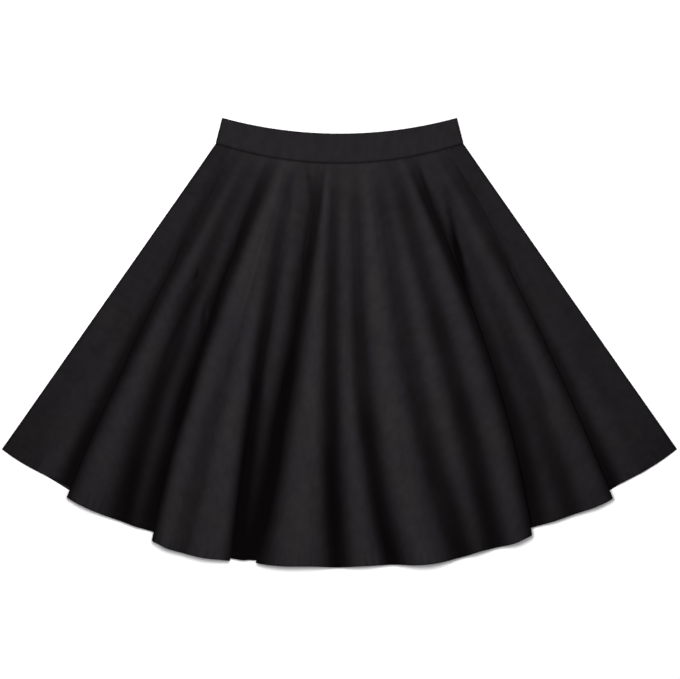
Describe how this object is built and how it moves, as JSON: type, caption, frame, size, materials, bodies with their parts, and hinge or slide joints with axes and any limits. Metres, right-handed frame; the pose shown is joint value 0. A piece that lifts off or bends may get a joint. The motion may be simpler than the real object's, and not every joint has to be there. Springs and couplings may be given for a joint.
{
  "type": "circle skirt",
  "caption": "Black cotton circle skirt laid flat, front up, with a plain waistband, soft folds that fan out to a turned hem, and a zip at the centre back.",
  "frame": {"origin": "on the surface the skirt lies on, under the middle of its outline", "axes": "+X towards the right of the picture, the wearer's left; +Y up to the waistband; +Z off the surface, towards the camera"},
  "size_m": [0.9442, 0.6279, 0.0302],
  "materials": {
    "cloth": "matt black cotton twill with a faint nap",
    "zip": "black nylon coil and black enamelled slider"
  },
  "bodies": {
    "skirt": {"skirt_front": "cloth", "skirt_back_left": "cloth", "skirt_back_right": "cloth", "waistband_front": "cloth", "waistband_back_left": "cloth", "waistband_back_right": "cloth", "zip_chain": "zip", "zip_slider": "zip"},
    "zip_pull": {"zip_pull": "zip"}
  },
  "joints": [
    {"name": "zip_pull_swing", "type": "hinge", "parent": "skirt", "child": "zip_pull", "pos_m": [0, 0.28267, 0.00038], "axis": [1, 0, 0], "range_deg": [0, 170]}
  ]
}
